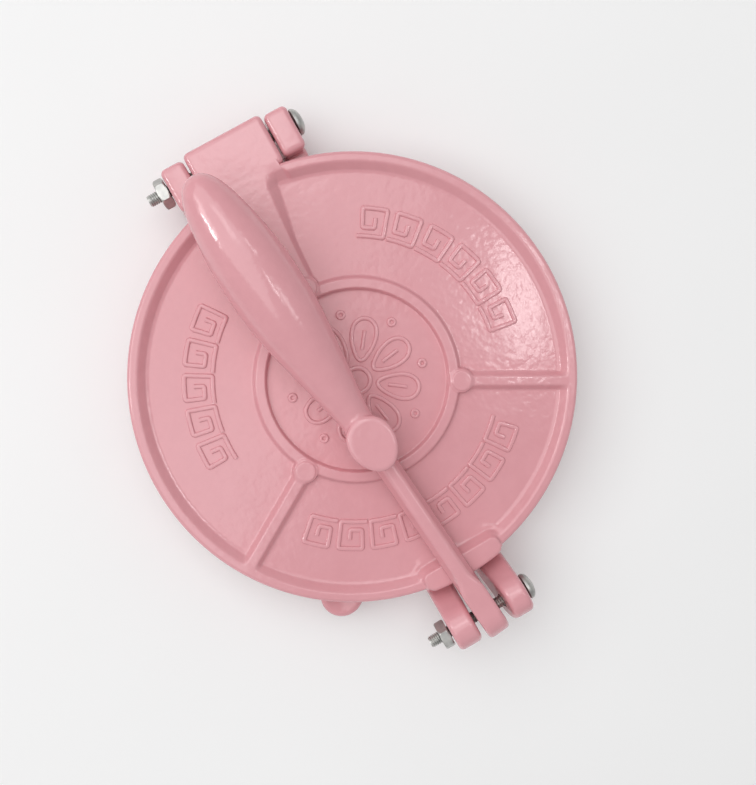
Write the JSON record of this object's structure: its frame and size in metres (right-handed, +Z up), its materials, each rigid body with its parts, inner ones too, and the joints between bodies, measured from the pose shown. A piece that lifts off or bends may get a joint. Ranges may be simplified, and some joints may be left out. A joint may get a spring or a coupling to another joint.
{
  "type": "tortilla press",
  "caption": "Small round hand press of painted cast aluminium: a ribbed top plate hinged to a footed base, closed by a lever with a spindle grip.",
  "frame": {"origin": "centre of the bounding box in plan, on the plane that the feet stand on", "axes": "+X along both hinge axes, towards the screws' heads; +Y from the lever's hinge to the plates' hinge; +Z up out of the top plate"},
  "size_m": [0.104, 0.1324, 0.0356],
  "materials": {
    "pink_paint": "satin-gloss pink paint on cast aluminium",
    "zinc_steel": "bright zinc plate"
  },
  "bodies": {
    "base": {"base_plate": "pink_paint", "hinge_screw": "zinc_steel", "hinge_nut": "zinc_steel", "lever_screw": "zinc_steel", "lever_nut": "zinc_steel"},
    "cover": {"top_plate": "pink_paint"},
    "handle": {"lever": "pink_paint"}
  },
  "joints": [
    {"name": "lever_swing", "type": "hinge", "parent": "base", "child": "handle", "pos_m": [0, -0.05988, 0.0172], "axis": [1, 0, 0], "range_deg": [0, 178]},
    {"name": "top_plate_open", "type": "hinge", "parent": "base", "child": "cover", "pos_m": [0, 0.06142, 0.0126], "axis": [-1, 0, 0], "range_deg": [0, 180]}
  ],
  "couplings": [
    {"joint": "top_plate_open", "follows": "lever_swing", "ratio": 0.09}
  ]
}
